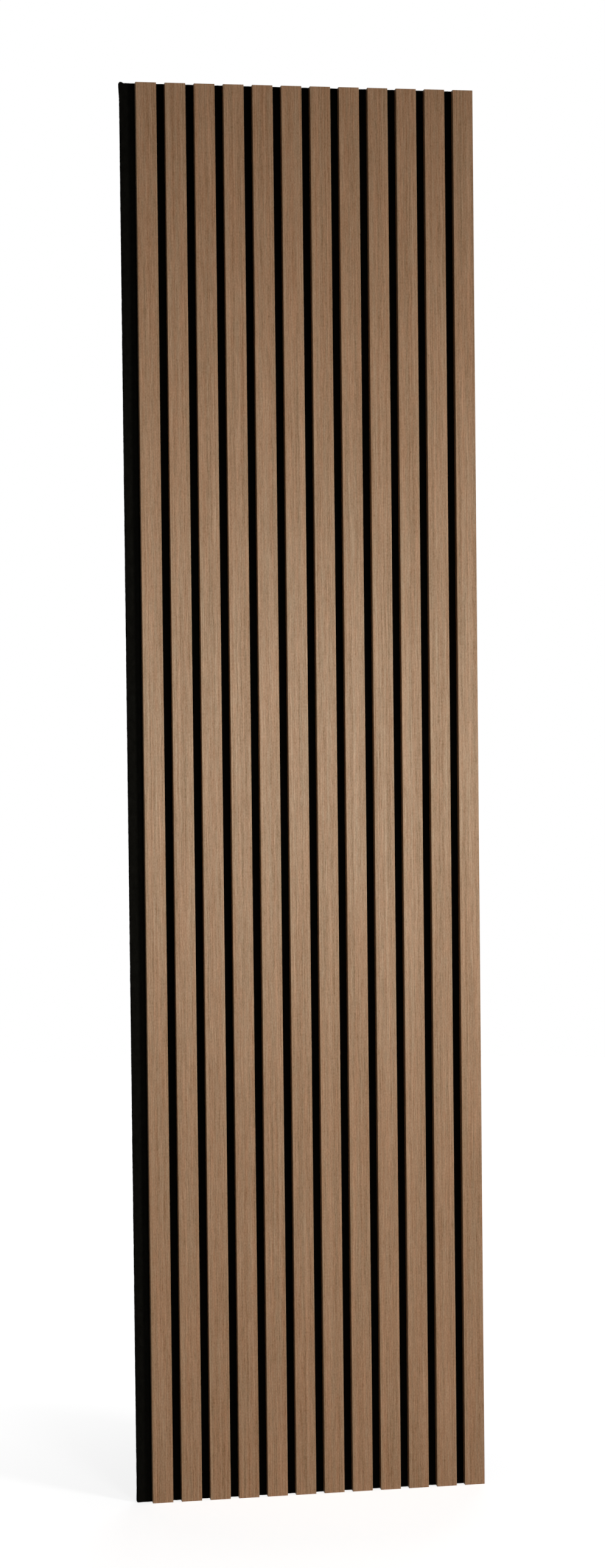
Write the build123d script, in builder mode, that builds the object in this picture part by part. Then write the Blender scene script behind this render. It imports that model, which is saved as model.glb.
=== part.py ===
from build123d import *
import os

# Slatted acoustic wall panel: veneered slats, glued and stapled to a black felt board.
# X runs across the panel to the right, Z up along the slats, and the slats face -Y.
# The origin is the middle of the felt's back face, which lies on the wall.
# Sizes are in millimetres.

# Panel
panel_length = 2400
slat_count = 12
slat_gap = 14.5
felt_thickness = 9
felt_lip = 25.5  # bare felt to the left of the first slat

# Slats: a fibreboard core with veneer folded round its face and both sides
slat_width = 35
slat_thickness = 12
veneer_thickness = 0.5
core_edge_bevel = 0.5  # eased front edges of the core, which the veneer is folded over

# Staples: flat wire, driven from the back through the felt into the cores
staple_width = 12
staple_bite = 7  # how far the legs reach into the core
staple_wire_thickness = 0.6
staple_wire_width = 1.2
staple_corner = 0.4  # bevel at the two bends of the crown
staple_sink = 0.3  # how far the crown is pulled below the felt's back face
staple_rows = 6
staple_end_margin = 60  # from the panel's end to the middle of the nearest row

# Slat places, from left to right
slat_pitch = slat_width + slat_gap
panel_width = felt_lip + slat_count * slat_pitch - slat_gap
first_slat_x = -panel_width / 2 + felt_lip + slat_width / 2
slat_centres = [first_slat_x + slat_pitch * place for place in range(slat_count)]

# Staple rows, from the bottom up
staple_row_pitch = (panel_length - 2 * staple_end_margin) / (staple_rows - 1)
first_row_z = -panel_length / 2 + staple_end_margin
staple_heights = [first_row_z + staple_row_pitch * row for row in range(staple_rows)]

# Every profile is drawn as seen from above, and its Y values are those of the panel
bottom_plane = Plane.XY.offset(-panel_length / 2)
staple_planes = [Plane.XY.offset(height - staple_wire_width / 2) for height in staple_heights]
towards_face = (Align.CENTER, Align.MAX)

# A slat's core from above, standing on the felt
with BuildSketch() as core_section:
    with Locations((0, -felt_thickness)):
        Rectangle(
            slat_width - 2 * veneer_thickness,
            slat_thickness - veneer_thickness,
            align=towards_face,
        )
    chamfer(core_section.vertices().group_by(Axis.Y)[0], core_edge_bevel)

# The veneer is the whole slat's section less the core that it is folded over
with BuildSketch() as veneer_section:
    with Locations((0, -felt_thickness)):
        Rectangle(slat_width, slat_thickness, align=towards_face)
    fillet(veneer_section.vertices().group_by(Axis.Y)[0], core_edge_bevel + veneer_thickness)
    add(core_section.sketch, mode=Mode.SUBTRACT)

# A staple from above: a crown in the felt's back and two legs towards the slat's face
staple_leg = felt_thickness - staple_sink + staple_bite
with BuildSketch() as staple_section:
    with Locations((0, -staple_sink)):
        Rectangle(staple_width, staple_leg, align=towards_face)
    with Locations((0, -staple_sink - staple_wire_thickness)):
        Rectangle(
            staple_width - 2 * staple_wire_thickness,
            staple_leg,
            align=towards_face,
            mode=Mode.SUBTRACT,
        )
    chamfer(staple_section.vertices().group_by(Axis.Y)[-1], staple_corner)

# What a staple takes out of the felt: its own shape and the groove that it is sunk by
with BuildSketch() as staple_slot:
    add(staple_section.sketch)
    Rectangle(staple_width, staple_sink + staple_wire_thickness, align=towards_face)

# The felt board, one sheet behind all the slats
with BuildPart() as felt_backing:
    with BuildSketch(bottom_plane):
        Rectangle(panel_width, felt_thickness, align=towards_face)
    extrude(amount=panel_length)
    with BuildSketch(*staple_planes):
        with Locations(*[(slat_x, 0) for slat_x in slat_centres]):
            add(staple_slot.sketch)
    extrude(amount=staple_wire_width, mode=Mode.SUBTRACT)

# The staples, one behind each slat in every row
with BuildPart() as staples:
    with BuildSketch(*staple_planes):
        with Locations(*[(slat_x, 0) for slat_x in slat_centres]):
            add(staple_section.sketch)
    extrude(amount=staple_wire_width)

pieces = {"felt_backing": felt_backing.part, "staples": staples.part}

for number, slat_x in enumerate(slat_centres, start=1):
    # The fibreboard core of one slat, with the blind slots that its staples' legs cut
    with BuildPart() as slat_core:
        with BuildSketch(bottom_plane):
            with Locations((slat_x, 0)):
                add(core_section.sketch)
        extrude(amount=panel_length)
        with BuildSketch(*staple_planes):
            with Locations((slat_x, 0)):
                add(staple_section.sketch)
        extrude(amount=staple_wire_width, mode=Mode.SUBTRACT)
    pieces[f"slat_core_{number:02d}"] = slat_core.part

    # Its veneer, folded over the core's face and sides and trimmed flush at the ends
    with BuildPart() as slat_veneer:
        with BuildSketch(bottom_plane):
            with Locations((slat_x, 0)):
                add(veneer_section.sketch)
        extrude(amount=panel_length)
    pieces[f"slat_veneer_{number:02d}"] = slat_veneer.part

os.makedirs("parts", exist_ok=True)
for name, piece in pieces.items():
    piece.label = name
    export_step(piece, f"parts/{name}.step")
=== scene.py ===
import math
import random

import bmesh
import bpy
from mathutils import Matrix, Vector, noise


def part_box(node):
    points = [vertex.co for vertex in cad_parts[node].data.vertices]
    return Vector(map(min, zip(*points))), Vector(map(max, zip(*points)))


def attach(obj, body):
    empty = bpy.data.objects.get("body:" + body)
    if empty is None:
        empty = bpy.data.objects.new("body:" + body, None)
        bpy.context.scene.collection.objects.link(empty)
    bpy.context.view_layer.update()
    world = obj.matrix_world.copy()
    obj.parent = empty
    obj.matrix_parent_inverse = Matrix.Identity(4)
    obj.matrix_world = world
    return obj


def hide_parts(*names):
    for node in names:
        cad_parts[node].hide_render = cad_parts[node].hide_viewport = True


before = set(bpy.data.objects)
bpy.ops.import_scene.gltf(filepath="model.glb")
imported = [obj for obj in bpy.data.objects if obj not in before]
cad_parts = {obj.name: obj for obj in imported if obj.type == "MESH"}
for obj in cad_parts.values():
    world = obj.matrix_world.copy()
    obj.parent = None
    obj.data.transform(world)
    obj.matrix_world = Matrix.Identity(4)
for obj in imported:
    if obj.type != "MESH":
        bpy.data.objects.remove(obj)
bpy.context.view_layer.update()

# The felt board. Black polyester fibres, needled and pressed into one flat 9 mm sheet, then cut to size
# with a knife. The slats are glued to its front, and their staples pull small dimples into its back.
mm = 0.001
felt_low, felt_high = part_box("felt_backing")
staple_low, staple_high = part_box("staples")
felt_thickness = felt_high.y - felt_low.y
slat_numbers = range(1, 13)
slat_boxes = [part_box(f"slat_veneer_{number:02d}") for number in slat_numbers]
slat_centres = [(low.x + high.x) / 2 for low, high in slat_boxes]
slat_half_width = (slat_boxes[0][1].x - slat_boxes[0][0].x) / 2
groove_half_width = (slat_boxes[1][0].x - slat_boxes[0][1].x) / 2

staple_rows = 6
crown_half_width = 6.0 * mm
wire_half_width = 0.6 * mm
crown_heights = [
    staple_low.z + wire_half_width
    + (staple_high.z - staple_low.z - 2 * wire_half_width) * row / (staple_rows - 1)
    for row in range(staple_rows)
]

edge_steps = [0, 1 * mm, 2 * mm, 3 * mm, 4.5 * mm, 5.5 * mm, 6.5 * mm, 8 * mm, 11 * mm, 16 * mm, 24 * mm]
crown_steps = [0.9 * crown_half_width, crown_half_width + 0.8 * mm, 10 * mm, 14 * mm]
row_steps = [0, 0.7 * mm, 1.6 * mm, 4 * mm, 8 * mm]
closest_lines = 0.3 * mm
widest_column = 12 * mm
widest_row = 30 * mm
layer_shares = (0.3, 0.7)
sharp_angle = math.radians(60)
arris_bevel = 0.5 * mm
cut_side_room = 0.6 * mm
longest_cut_edge = 6 * mm
face_room = 0.2 * mm
dimple_depth = 0.85 * mm
dimple_reach = 7 * mm
groove_bulge = 0.25 * mm
rag_size = 0.22 * mm
rag_reach = 3 * mm
rag_waves = 160
fine_rag_waves = 420
fine_rag_share = 0.6
rag_seed = 12
swollen_corners = ((felt_high.z, 1, 1.0), (felt_low.z, -1, 0.35))
nub_length = 4 * mm
nub_fall = 3 * mm
nub_height = 1.9 * mm
nub_reach = 9 * mm
nub_round = 1.6 * mm
rounding_share = 0.6
flare_reach = 30 * mm
flare_width = 8 * mm
flare_out = 1.3 * mm
flare_forward = 0.5


def grid_lines(low, high, places, widest):
    """Lines from low to high through the given places, with more where two are far apart."""
    kept = [low]
    for place in sorted(places) + [high]:
        if place - kept[-1] < closest_lines:
            continue
        cuts = math.ceil((place - kept[-1]) / widest)
        start = kept[-1]
        kept += [start + (place - start) * cut / cuts for cut in range(1, cuts + 1)]
    kept[-1] = high
    return kept


column_places = [felt_low.x + step for step in edge_steps] + [felt_high.x - step for step in edge_steps]
for centre in slat_centres:
    for step in crown_steps + [slat_half_width, slat_half_width + groove_half_width]:
        column_places += [centre - step, centre + step]
row_places = [felt_low.z + step for step in edge_steps] + [felt_high.z - step for step in edge_steps]
for height in crown_heights:
    for step in row_steps:
        row_places += [height - step, height + step]
inner_places = [x for x in column_places if x < felt_high.x]
columns = grid_lines(felt_low.x, felt_high.x, inner_places, widest_column)
rows = grid_lines(felt_low.z, felt_high.z, row_places, widest_row)

# The back face is a grid whose lines gather at the edges and the staples, and it is pulled out to 9 mm
board = bmesh.new()
bmesh.ops.create_grid(board, x_segments=len(columns) - 1, y_segments=len(rows) - 1, size=1.0)
for vert in board.verts:
    column = round((vert.co.x + 1) / 2 * (len(columns) - 1))
    row = round((vert.co.y + 1) / 2 * (len(rows) - 1))
    vert.co = Vector((columns[column], felt_high.y, rows[row]))
front = bmesh.ops.extrude_face_region(board, geom=board.faces[:])
front_verts = [item for item in front["geom"] if isinstance(item, bmesh.types.BMVert)]
bmesh.ops.translate(board, verts=front_verts, vec=(0, -felt_thickness, 0))
for share in layer_shares:
    bmesh.ops.bisect_plane(
        board,
        geom=board.verts[:] + board.edges[:] + board.faces[:],
        plane_co=(0, felt_low.y + share * felt_thickness, 0),
        plane_no=(0, 1, 0),
    )
bmesh.ops.recalc_face_normals(board, faces=board.faces[:])
arrises = [edge for edge in board.edges if edge.calc_face_angle(0) > sharp_angle]
bmesh.ops.bevel(
    board, geom=arrises, offset=arris_bevel, segments=2, profile=0.5, affect="EDGES", material=-1
)


def on_cut_side(vert):
    """True on the four cut sides of the board, where the knife leaves a ragged line."""
    return (
        min(vert.co.x - felt_low.x, felt_high.x - vert.co.x) < cut_side_room
        or min(vert.co.z - felt_low.z, felt_high.z - vert.co.z) < cut_side_room
    )


long_edges = [
    edge for edge in board.edges
    if edge.calc_length() > longest_cut_edge and all(on_cut_side(vert) for vert in edge.verts)
]
bmesh.ops.subdivide_edges(board, edges=long_edges, cuts=7)


def smooth_fall(distance, reach):
    """1 at no distance, falling smoothly to 0 at the reach."""
    share = max(0.0, 1 - distance / reach)
    return share * share * (3 - 2 * share)


# The cut sides are ragged, the staples pull dimples into the back, and the front swells in the grooves. The
# margin's two left corners are swollen and bent outwards, the top one fully and the bottom one less.
noise.seed_set(rag_seed)
for vert in board.verts:
    x, y, z = vert.co
    on_back = y > felt_high.y - face_room
    on_front = y < felt_low.y + face_room
    fine_wobble = fine_rag_share * noise.noise_vector(vert.co * fine_rag_waves)
    wobble = noise.noise_vector(vert.co * rag_waves) + fine_wobble
    side_room = min(x - felt_low.x, felt_high.x - x, z - felt_low.z, felt_high.z - z)
    move = rag_size * smooth_fall(side_room, rag_reach) * wobble
    if on_back:
        for centre in slat_centres:
            across = max(0.0, abs(x - centre) - crown_half_width)
            if across > dimple_reach:
                continue
            for height in crown_heights:
                along = max(0.0, abs(z - height) - wire_half_width)
                move.y -= dimple_depth * smooth_fall(math.hypot(across, along), dimple_reach)
    if on_front:
        past_slat = min(abs(x - centre) for centre in slat_centres) - slat_half_width
        move.y -= groove_bulge * min(1.0, max(0.0, past_slat) / groove_half_width)
    in_from_left = x - felt_low.x
    for corner_z, way, size in swollen_corners:
        in_from_end = abs(z - corner_z)
        near_left = smooth_fall(max(0.0, in_from_left - nub_length), nub_fall)
        near_end = smooth_fall(in_from_end, nub_reach)
        move.z += way * size * nub_height * near_left * near_end
        rounding = smooth_fall(in_from_left, nub_round) * smooth_fall(in_from_end, nub_round)
        move.z -= way * rounding_share * nub_round * rounding
        move.x += rounding_share * nub_round * rounding
        flare = smooth_fall(in_from_end, flare_reach) * smooth_fall(in_from_left, flare_width)
        move.x -= size * flare_out * flare
        move.y -= size * flare_forward * flare_out * flare
    vert.co += move
bmesh.ops.triangulate(board, faces=[face for face in board.faces if len(face.verts) > 4])
for face in board.faces:
    face.smooth = True

felt_data = bpy.data.meshes.new("felt_board")
board.to_mesh(felt_data)
board.free()
felt_board = bpy.data.objects.new("felt_board", felt_data)
bpy.context.scene.collection.objects.link(felt_board)


def new_material(name):
    """A node material with its principled shader."""
    material = bpy.data.materials.new(name)
    material.use_nodes = True
    tree = material.node_tree
    return material, tree.nodes, tree.links, tree.nodes["Principled BSDF"]


def sum_of(nodes, links, operation, *values):
    """One sum on numbers or sockets. Gives the socket of its result."""
    node = nodes.new("ShaderNodeMath")
    node.operation = operation
    for socket, value in zip(node.inputs, values):
        if isinstance(value, bpy.types.NodeSocket):
            links.new(value, socket)
        else:
            socket.default_value = value
    return node.outputs[0]


def strands(nodes, links, point, size, detail=2.0, rough=0.55):
    """Noise whose strands have the given size in metres along X, Y and Z."""
    stretch = nodes.new("ShaderNodeVectorMath")
    stretch.operation = "MULTIPLY"
    stretch.inputs[1].default_value = [1 / length for length in size]
    links.new(point, stretch.inputs[0])
    texture = nodes.new("ShaderNodeTexNoise")
    texture.inputs["Scale"].default_value = 1.0
    texture.inputs["Detail"].default_value = detail
    texture.inputs["Roughness"].default_value = rough
    links.new(stretch.outputs[0], texture.inputs["Vector"])
    return texture.outputs["Fac"]


def blend_colours(nodes, links, share, first, second, mode="MIX"):
    """A colour from first to second, or the two multiplied, by the share."""
    mix = nodes.new("ShaderNodeMix")
    mix.data_type = "RGBA"
    mix.blend_type = mode
    for socket, value in ((mix.inputs[0], share), (mix.inputs[6], first), (mix.inputs[7], second)):
        if isinstance(value, bpy.types.NodeSocket):
            links.new(value, socket)
        else:
            socket.default_value = value
    return mix.outputs[2]


def relief(nodes, links, shader, height, distance):
    """Raises the surface by the height, from 0 to 1, times the distance in metres."""
    bump = nodes.new("ShaderNodeBump")
    bump.inputs["Strength"].default_value = 1.0
    bump.inputs["Distance"].default_value = distance
    links.new(height, bump.inputs["Height"])
    links.new(bump.outputs["Normal"], shader.inputs["Normal"])


# The felt's black changes from fibre to fibre, and a little from clump to clump
felt_shadow = (0.0014, 0.0013, 0.0010, 1)
felt_light = (0.0097, 0.0092, 0.0072, 1)
fibre_size = (0.5 * mm, 0.5 * mm, 0.5 * mm)
clump_size = (9 * mm, 9 * mm, 14 * mm)
fibre_share = 0.75
felt_contrast = 3.0
fibre_relief = 0.35 * mm
groove_shade_share = 0.45
blend_depth = 1 * mm

felt_material, nodes, links, shader = new_material("black_felt")
place = nodes.new("ShaderNodeTexCoord").outputs["Object"]
fibres = strands(nodes, links, place, fibre_size, 4.0, 0.65)
clumps = strands(nodes, links, place, clump_size, 3.0)
from_fibres = sum_of(nodes, links, "MULTIPLY", fibres, fibre_share)
from_clumps = sum_of(nodes, links, "MULTIPLY", clumps, 1 - fibre_share)
both = sum_of(nodes, links, "ADD", from_fibres, from_clumps)
spread = sum_of(nodes, links, "MULTIPLY_ADD", both, felt_contrast, (1 - felt_contrast) / 2)
felt_colour = blend_colours(nodes, links, spread, felt_shadow, felt_light)

# The felt's colour is darkened in the grooves as painted shade, standing in for the slats' shadow, so
# that. The grooves look blacker than the bare margin in the photograph, probably from shadow, and the
# felt's colour is darkened there to match it
# # the grooves look blacker than the bare margin
parted = nodes.new("ShaderNodeSeparateXYZ")
links.new(place, parted.inputs[0])
in_slats = sum_of(nodes, links, "GREATER_THAN", parted.outputs["X"], slat_boxes[0][0].x)
at_front = nodes.new("ShaderNodeMapRange")
at_front.inputs["From Min"].default_value = felt_high.y - blend_depth
at_front.inputs["From Max"].default_value = felt_low.y + blend_depth
links.new(parted.outputs["Y"], at_front.inputs["Value"])
in_grooves = sum_of(nodes, links, "MULTIPLY", in_slats, at_front.outputs["Result"])
painted_groove_shade = (groove_shade_share, groove_shade_share, groove_shade_share, 1)
# Painted shade: the felt's front, right of the bare margin, multiplied darker
felt_in_painted_shade = blend_colours(nodes, links, 1.0, felt_colour, painted_groove_shade, "MULTIPLY")
links.new(blend_colours(nodes, links, in_grooves, felt_colour, felt_in_painted_shade), shader.inputs["Base Color"])
shader.inputs["Roughness"].default_value = 0.95
shader.inputs["Specular IOR Level"].default_value = 0.0
relief(nodes, links, shader, fibres, fibre_relief)
felt_data.materials.append(felt_material)

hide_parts("felt_backing")
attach(felt_board, "root")

# Loose fibres of the felt. The knife pulls fine black hairs out of the cut edges, and a thin nap stands on
# the faces. Each is one curved hair, 0.07 mm thick at its root and 0.4 to 1.5 mm long.
hair_thickness = 0.07 * mm
hair_bend = 0.45
hair_taper = 0.55
hair_shares = (0, 0.55, 1)
edge_hairs = 5200
nap_hairs = 3600
edge_hair_mm = (0.4, 1.5)
nap_hair_mm = (0.4, 1.2)
root_inset = 0.3 * mm
draw = random.Random(12)


def add_hair(splines, root, lean, length):
    """One hair from its root, bent to a side on the way to its tip."""
    sideways = Vector([draw.uniform(-1, 1) for axis in range(3)]) * hair_bend * length
    hair = splines.new("POLY")
    hair.points.add(len(hair_shares) - 1)
    for point, share in zip(hair.points, hair_shares):
        place_on_hair = root + lean * length * share + sideways * share * share
        point.co = (*place_on_hair, 1)
        point.radius = hair_thickness / 2 * (1 - hair_taper * share)


def hair_piece(name):
    """An empty curve piece of thin closed tubes, in the felt's colour."""
    curve = bpy.data.curves.new(name, "CURVE")
    curve.dimensions = "3D"
    curve.bevel_depth = 1.0
    curve.bevel_resolution = 0
    curve.use_fill_caps = True
    curve.materials.append(felt_material)
    piece = bpy.data.objects.new(name, curve)
    bpy.context.scene.collection.objects.link(piece)
    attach(piece, "root")
    return curve.splines


felt_width = felt_high.x - felt_low.x
felt_height = felt_high.z - felt_low.z
outline = 2 * (felt_width + felt_height)
edge_splines = hair_piece("felt_edge_hairs")
for hair_number in range(edge_hairs):
    way = draw.uniform(0, outline)
    y = draw.uniform(felt_low.y + root_inset, felt_high.y - root_inset)
    if way < 2 * felt_height:
        left = way < felt_height
        root = Vector((felt_low.x if left else felt_high.x, y, felt_low.z + way % felt_height))
        lean = Vector((-1 if left else 1, draw.uniform(-0.5, 0.2), draw.uniform(-0.9, 0.9)))
    else:
        way -= 2 * felt_height
        upper = way < felt_width
        root = Vector((felt_low.x + way % felt_width, y, felt_high.z if upper else felt_low.z))
        lean = Vector((draw.uniform(-0.9, 0.9), draw.uniform(-0.5, 0.2), 0.6 if upper else -0.15))
    add_hair(edge_splines, root, lean.normalized(), draw.uniform(*edge_hair_mm) * mm)

nap_splines = hair_piece("felt_nap")
bare_strips = [(felt_low.x, slat_boxes[0][0].x)]
bare_strips += [(left[1].x, right[0].x) for left, right in zip(slat_boxes, slat_boxes[1:])]
for hair_number in range(nap_hairs):
    z = draw.uniform(felt_low.z, felt_high.z)
    if hair_number % 2:
        root = Vector((draw.uniform(felt_low.x, felt_high.x), felt_high.y, z))
        lean = Vector((draw.uniform(-1, 1), 0.12, draw.uniform(-1, 1)))
    else:
        strip = bare_strips[0] if hair_number % 4 == 0 else draw.choice(bare_strips)
        root = Vector((draw.uniform(*strip), felt_low.y, z))
        lean = Vector((draw.uniform(-1, 1), -0.45, draw.uniform(-1, 1)))
    add_hair(nap_splines, root, lean.normalized(), draw.uniform(*nap_hair_mm) * mm)

# The slat cores. Medium-density fibreboard, sawn to strips, with their front edges eased, and glued to the
# felt. They show only at the sawn ends, which are brown, fine and even.
board_dark = (0.20, 0.125, 0.068, 1)
board_pale = (0.36, 0.25, 0.15, 1)
speck_size = (0.6 * mm, 0.35 * mm, 0.6 * mm)
speck_relief = 0.15 * mm

core_material, nodes, links, shader = new_material("sawn_fibreboard")
place = nodes.new("ShaderNodeTexCoord").outputs["Object"]
specks = strands(nodes, links, place, speck_size, 4.0, 0.7)
share = sum_of(nodes, links, "MULTIPLY_ADD", specks, 2.4, -0.7)
links.new(blend_colours(nodes, links, share, board_dark, board_pale), shader.inputs["Base Color"])
shader.inputs["Roughness"].default_value = 0.9
shader.inputs["Specular IOR Level"].default_value = 0.25
relief(nodes, links, shader, specks, speck_relief)
for number in slat_numbers:
    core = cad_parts[f"slat_core_{number:02d}"]
    core.data.materials.clear()
    core.data.materials.append(core_material)

# The veneers. Sliced straight-grained walnut, 0.5 mm thick and lightly oiled, glued round the core's face
# and both sides in one fold, then sawn flush with the core at the ends. Each slat has its own strip.
veneer_dark = (0.21, 0.098, 0.0375, 1)
veneer_pale = (0.465, 0.267, 0.152, 1)
warm_tint = (1.05, 0.985, 0.95, 1)
grey_tint = (0.95, 1.015, 1.05, 1)
painted_sheen_tint = (0.92, 0.98, 1.0, 1)
sheen_tint = (0.83, 1.0, 0.86, 1)
slat_pitch = slat_centres[1] - slat_centres[0]
first_edge = slat_centres[0] - slat_pitch / 2
strip_shift = 3.7
wander_size = (16 * mm, 16 * mm, 70 * mm)
wander_reach = 5 * mm
painted_sheen_band = 0.8 * mm
grain_relief = 0.04 * mm

# Each slat reads its own length of the grain, whose strands wander a little to the sides
veneer_material, nodes, links, shader = new_material("oiled_walnut_veneer")
place = nodes.new("ShaderNodeTexCoord").outputs["Object"]
parted = nodes.new("ShaderNodeSeparateXYZ")
links.new(place, parted.inputs[0])
from_edge = sum_of(nodes, links, "SUBTRACT", parted.outputs["X"], first_edge)
slat_place = sum_of(nodes, links, "FLOOR", sum_of(nodes, links, "DIVIDE", from_edge, slat_pitch))
own_length = sum_of(nodes, links, "MULTIPLY_ADD", slat_place, strip_shift, parted.outputs["Z"])
wander = strands(nodes, links, place, wander_size, 2.0)
wandered = sum_of(nodes, links, "MULTIPLY_ADD", wander, wander_reach, parted.outputs["X"])
joined = nodes.new("ShaderNodeCombineXYZ")
links.new(wandered, joined.inputs["X"])
links.new(parted.outputs["Y"], joined.inputs["Y"])
links.new(own_length, joined.inputs["Z"])
strip_point = joined.outputs[0]

# Each layer of the grain: its strands' size, their detail, and how much they add to the light and dark
grain_layers = [
    ((1.9 * mm, 1.9 * mm, 3.2 * mm), 0.0, 0.52),
    ((1.8 * mm, 1.8 * mm, 14 * mm), 1.0, 0.62),
    ((1.8 * mm, 1.8 * mm, 60 * mm), 1.0, 0.66),
    ((1.8 * mm, 1.8 * mm, 260 * mm), 1.0, 0.62),
    ((2.4 * mm, 2.4 * mm, 1400 * mm), 1.0, 0.62),
    ((9 * mm, 9 * mm, 420 * mm), 1.0, 0.33),
]
grain = 0.5
for size, detail, weight in grain_layers:
    layer = strands(nodes, links, strip_point, size, detail)
    centred = sum_of(nodes, links, "SUBTRACT", layer, 0.5)
    grain = sum_of(nodes, links, "MULTIPLY_ADD", centred, weight, grain)

# Short dark pores and long pale threads, where their own noise passes a threshold
grain_marks = [
    ((1.3 * mm, 1.3 * mm, 8 * mm), 0.0, 0.66, -1.3),
    ((1.6 * mm, 1.6 * mm, 110 * mm), 1.0, 0.58, 1.6),
]
for size, detail, threshold, weight in grain_marks:
    mark = strands(nodes, links, strip_point, size, detail)
    past_threshold = sum_of(nodes, links, "SUBTRACT", mark, threshold)
    mark_height = sum_of(nodes, links, "MAXIMUM", past_threshold, 0.0)
    grain = sum_of(nodes, links, "MULTIPLY_ADD", mark_height, weight, grain)
wood = blend_colours(nodes, links, grain, veneer_dark, veneer_pale)

# The wood changes slowly between a warmer and a greyer brown. Its rounded edges and sides are made a little
# greyer as painted sheen
broad_tint = strands(nodes, links, strip_point, (7 * mm, 7 * mm, 260 * mm), 2.0)
fine_tint = strands(nodes, links, strip_point, (2.6 * mm, 2.6 * mm, 24 * mm), 1.0)
tint_share = sum_of(nodes, links, "MULTIPLY_ADD", broad_tint, 2.4, -1.6)
tint_share = sum_of(nodes, links, "MULTIPLY_ADD", fine_tint, 1.8, tint_share)
tint = blend_colours(nodes, links, tint_share, warm_tint, grey_tint)
wood = blend_colours(nodes, links, 1.0, wood, tint, "MULTIPLY")
slat_start = sum_of(nodes, links, "MULTIPLY", slat_place, slat_pitch)
within_slat = sum_of(nodes, links, "SUBTRACT", from_edge, slat_start)
off_middle = sum_of(nodes, links, "SUBTRACT", within_slat, slat_pitch / 2)
from_middle = sum_of(nodes, links, "ABSOLUTE", off_middle)
# Painted sheen: a greyer tint on the last 0.8 mm of each slat's face and on its sides
in_painted_sheen = sum_of(nodes, links, "GREATER_THAN", from_middle, slat_half_width - painted_sheen_band)
wood_in_painted_sheen = blend_colours(nodes, links, 1.0, wood, painted_sheen_tint, "MULTIPLY")
links.new(blend_colours(nodes, links, in_painted_sheen, wood, wood_in_painted_sheen), shader.inputs["Base Color"])

# The pale wood is a little smoother than the dark grain
links.new(sum_of(nodes, links, "MULTIPLY_ADD", grain, -0.11, 0.445), shader.inputs["Roughness"])
shader.inputs["Specular Tint"].default_value = sheen_tint
shader.inputs["Specular IOR Level"].default_value = 0.28
relief(nodes, links, shader, grain, grain_relief)
for number in slat_numbers:
    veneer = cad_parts[f"slat_veneer_{number:02d}"]
    veneer.data.materials.clear()
    veneer.data.materials.append(veneer_material)

# The staples. Flat galvanised wire, bent to a square crown, driven from the back through the felt into the
# cores, six behind each slat.
wire_dull = (0.30, 0.30, 0.29, 1)
wire_bright = (0.62, 0.62, 0.60, 1)
scuff_size = (1.6 * mm, 0.4 * mm, 0.15 * mm)
scuff_relief = 0.03 * mm

staple_material, nodes, links, shader = new_material("galvanised_wire")
place = nodes.new("ShaderNodeTexCoord").outputs["Object"]
scuffs = strands(nodes, links, place, scuff_size, 3.0)
share = sum_of(nodes, links, "MULTIPLY_ADD", scuffs, 2.2, -0.6)
links.new(blend_colours(nodes, links, share, wire_dull, wire_bright), shader.inputs["Base Color"])
shader.inputs["Metallic"].default_value = 1.0
shader.inputs["Roughness"].default_value = 0.38
relief(nodes, links, shader, scuffs, scuff_relief)
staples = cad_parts["staples"]
staples.data.materials.clear()
staples.data.materials.append(staple_material)

# The studio. A round white floor that the panel stands on, and an even white surround. The camera sees both
# as white, with the panel's shadow left faintly on the floor round its foot.
floor_radius = 6.0
floor_white = (0.8, 0.8, 0.8, 1)
surround_light = 0.08
foot_reach = 0.3
shadow_reach = 1.6
lift_near = 0.79
lift_far = 1.0


def seen_white(nodes, links):
    """1 for what the camera or a reflection sees, and 0 for the light that falls on the panel."""
    path = nodes.new("ShaderNodeLightPath")
    seen = sum_of(nodes, links, "MAXIMUM", path.outputs["Is Camera Ray"], path.outputs["Is Glossy Ray"])
    return sum_of(nodes, links, "MAXIMUM", seen, path.outputs["Is Transmission Ray"])


floor_mesh = bmesh.new()
bmesh.ops.create_circle(
    floor_mesh, cap_ends=True, segments=96, radius=floor_radius,
    matrix=Matrix.Translation((0, 0, felt_low.z)),
)
floor_data = bpy.data.meshes.new("studio_floor")
floor_mesh.to_mesh(floor_data)
floor_mesh.free()
studio_floor = bpy.data.objects.new("studio_floor", floor_data)
bpy.context.scene.collection.objects.link(studio_floor)

floor_material, nodes, links, shader = new_material("studio_white")
place = nodes.new("ShaderNodeTexCoord").outputs["Object"]
from_foot = nodes.new("ShaderNodeVectorMath")
from_foot.operation = "DISTANCE"
from_foot.inputs[1].default_value = (0, 0, felt_low.z)
links.new(place, from_foot.inputs[0])
lift = nodes.new("ShaderNodeMapRange")
lift.inputs["From Min"].default_value = foot_reach
lift.inputs["From Max"].default_value = shadow_reach
lift.inputs["To Min"].default_value = lift_near
lift.inputs["To Max"].default_value = lift_far
links.new(from_foot.outputs["Value"], lift.inputs["Value"])
shader.inputs["Base Color"].default_value = floor_white
shader.inputs["Roughness"].default_value = 0.9
shader.inputs["Specular IOR Level"].default_value = 0.0
shader.inputs["Emission Color"].default_value = (1, 1, 1, 1)
glow = sum_of(nodes, links, "MULTIPLY", seen_white(nodes, links), lift.outputs["Result"])
links.new(glow, shader.inputs["Emission Strength"])
floor_data.materials.append(floor_material)

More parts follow.
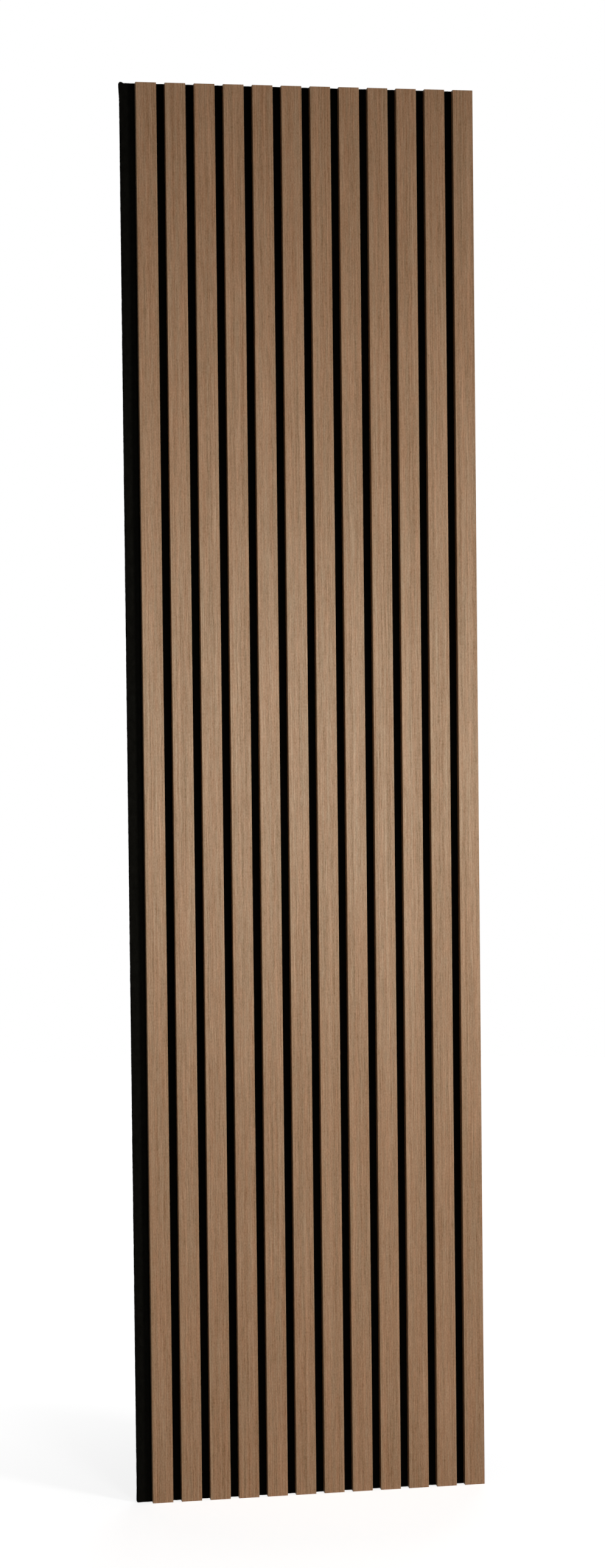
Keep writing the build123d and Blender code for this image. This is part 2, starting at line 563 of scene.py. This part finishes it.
world = bpy.data.worlds.new("white_surround")
world.use_nodes = True
bpy.context.scene.world = world
nodes, links = world.node_tree.nodes, world.node_tree.links
background = nodes["Background"]
background.inputs["Color"].default_value = (1, 1, 1, 1)
white = seen_white(nodes, links)
strength = sum_of(nodes, links, "MULTIPLY_ADD", white, 1 - surround_light, surround_light)
links.new(strength, background.inputs["Strength"])

# The lamps. Four soft boxes: the main one to the right, a weaker one nearer the camera, a small one for the
# foot, and one behind for the felt's back. The beams in front are narrow, so the panel's ends are dimmer.
beam_centre = Vector((-0.2, 0, 0.03))
foot_centre = Vector((0, 0, -1.45))


def softbox(name, place, size, watts, beam_degrees, aim=beam_centre):
    """A soft lamp of the given width and height that points at the aim."""
    lamp_data = bpy.data.lights.new(name, "AREA")
    lamp_data.shape = "RECTANGLE"
    lamp_data.size = size[0]
    lamp_data.size_y = size[1]
    lamp_data.energy = watts
    lamp_data.spread = math.radians(beam_degrees)
    lamp = bpy.data.objects.new(name, lamp_data)
    lamp.location = place
    lamp.rotation_euler = (aim - Vector(place)).to_track_quat("-Z", "Y").to_euler()
    bpy.context.scene.collection.objects.link(lamp)


softbox("main_lamp", (3.6, -3.8, 0.0), (1.0, 0.3), 15.0, 50)
softbox("front_lamp", (1.0, -5.2, -0.1), (1.2, 0.3), 6.1, 50)
softbox("low_lamp", (0.6, -3.2, -0.9), (1.0, 0.3), 0.45, 32, foot_centre)
softbox("back_lamp", (1.6, 4.2, 0.6), (2.0, 2.0), 12, 90)

# The camera. It stands to the left of the panel, a little above its middle, and looks slightly down. Its
# focal length comes from a fit to the photograph, in pixels of the photograph.
photo_height = 2576
focal_length_in_pixels = 4865
camera_place = (-0.8947, -4.9822, 0.1828)
camera_angles = (88.145, 0.616, -10.181)

camera_data = bpy.data.cameras.new("camera")
camera_data.sensor_width = 36.0
camera_data.lens = camera_data.sensor_width * focal_length_in_pixels / photo_height
camera = bpy.data.objects.new("camera", camera_data)
camera.location = camera_place
camera.rotation_euler = [math.radians(angle) for angle in camera_angles]
bpy.context.scene.collection.objects.link(camera)
bpy.context.scene.camera = camera
bpy.context.scene.view_settings.view_transform = "Standard"
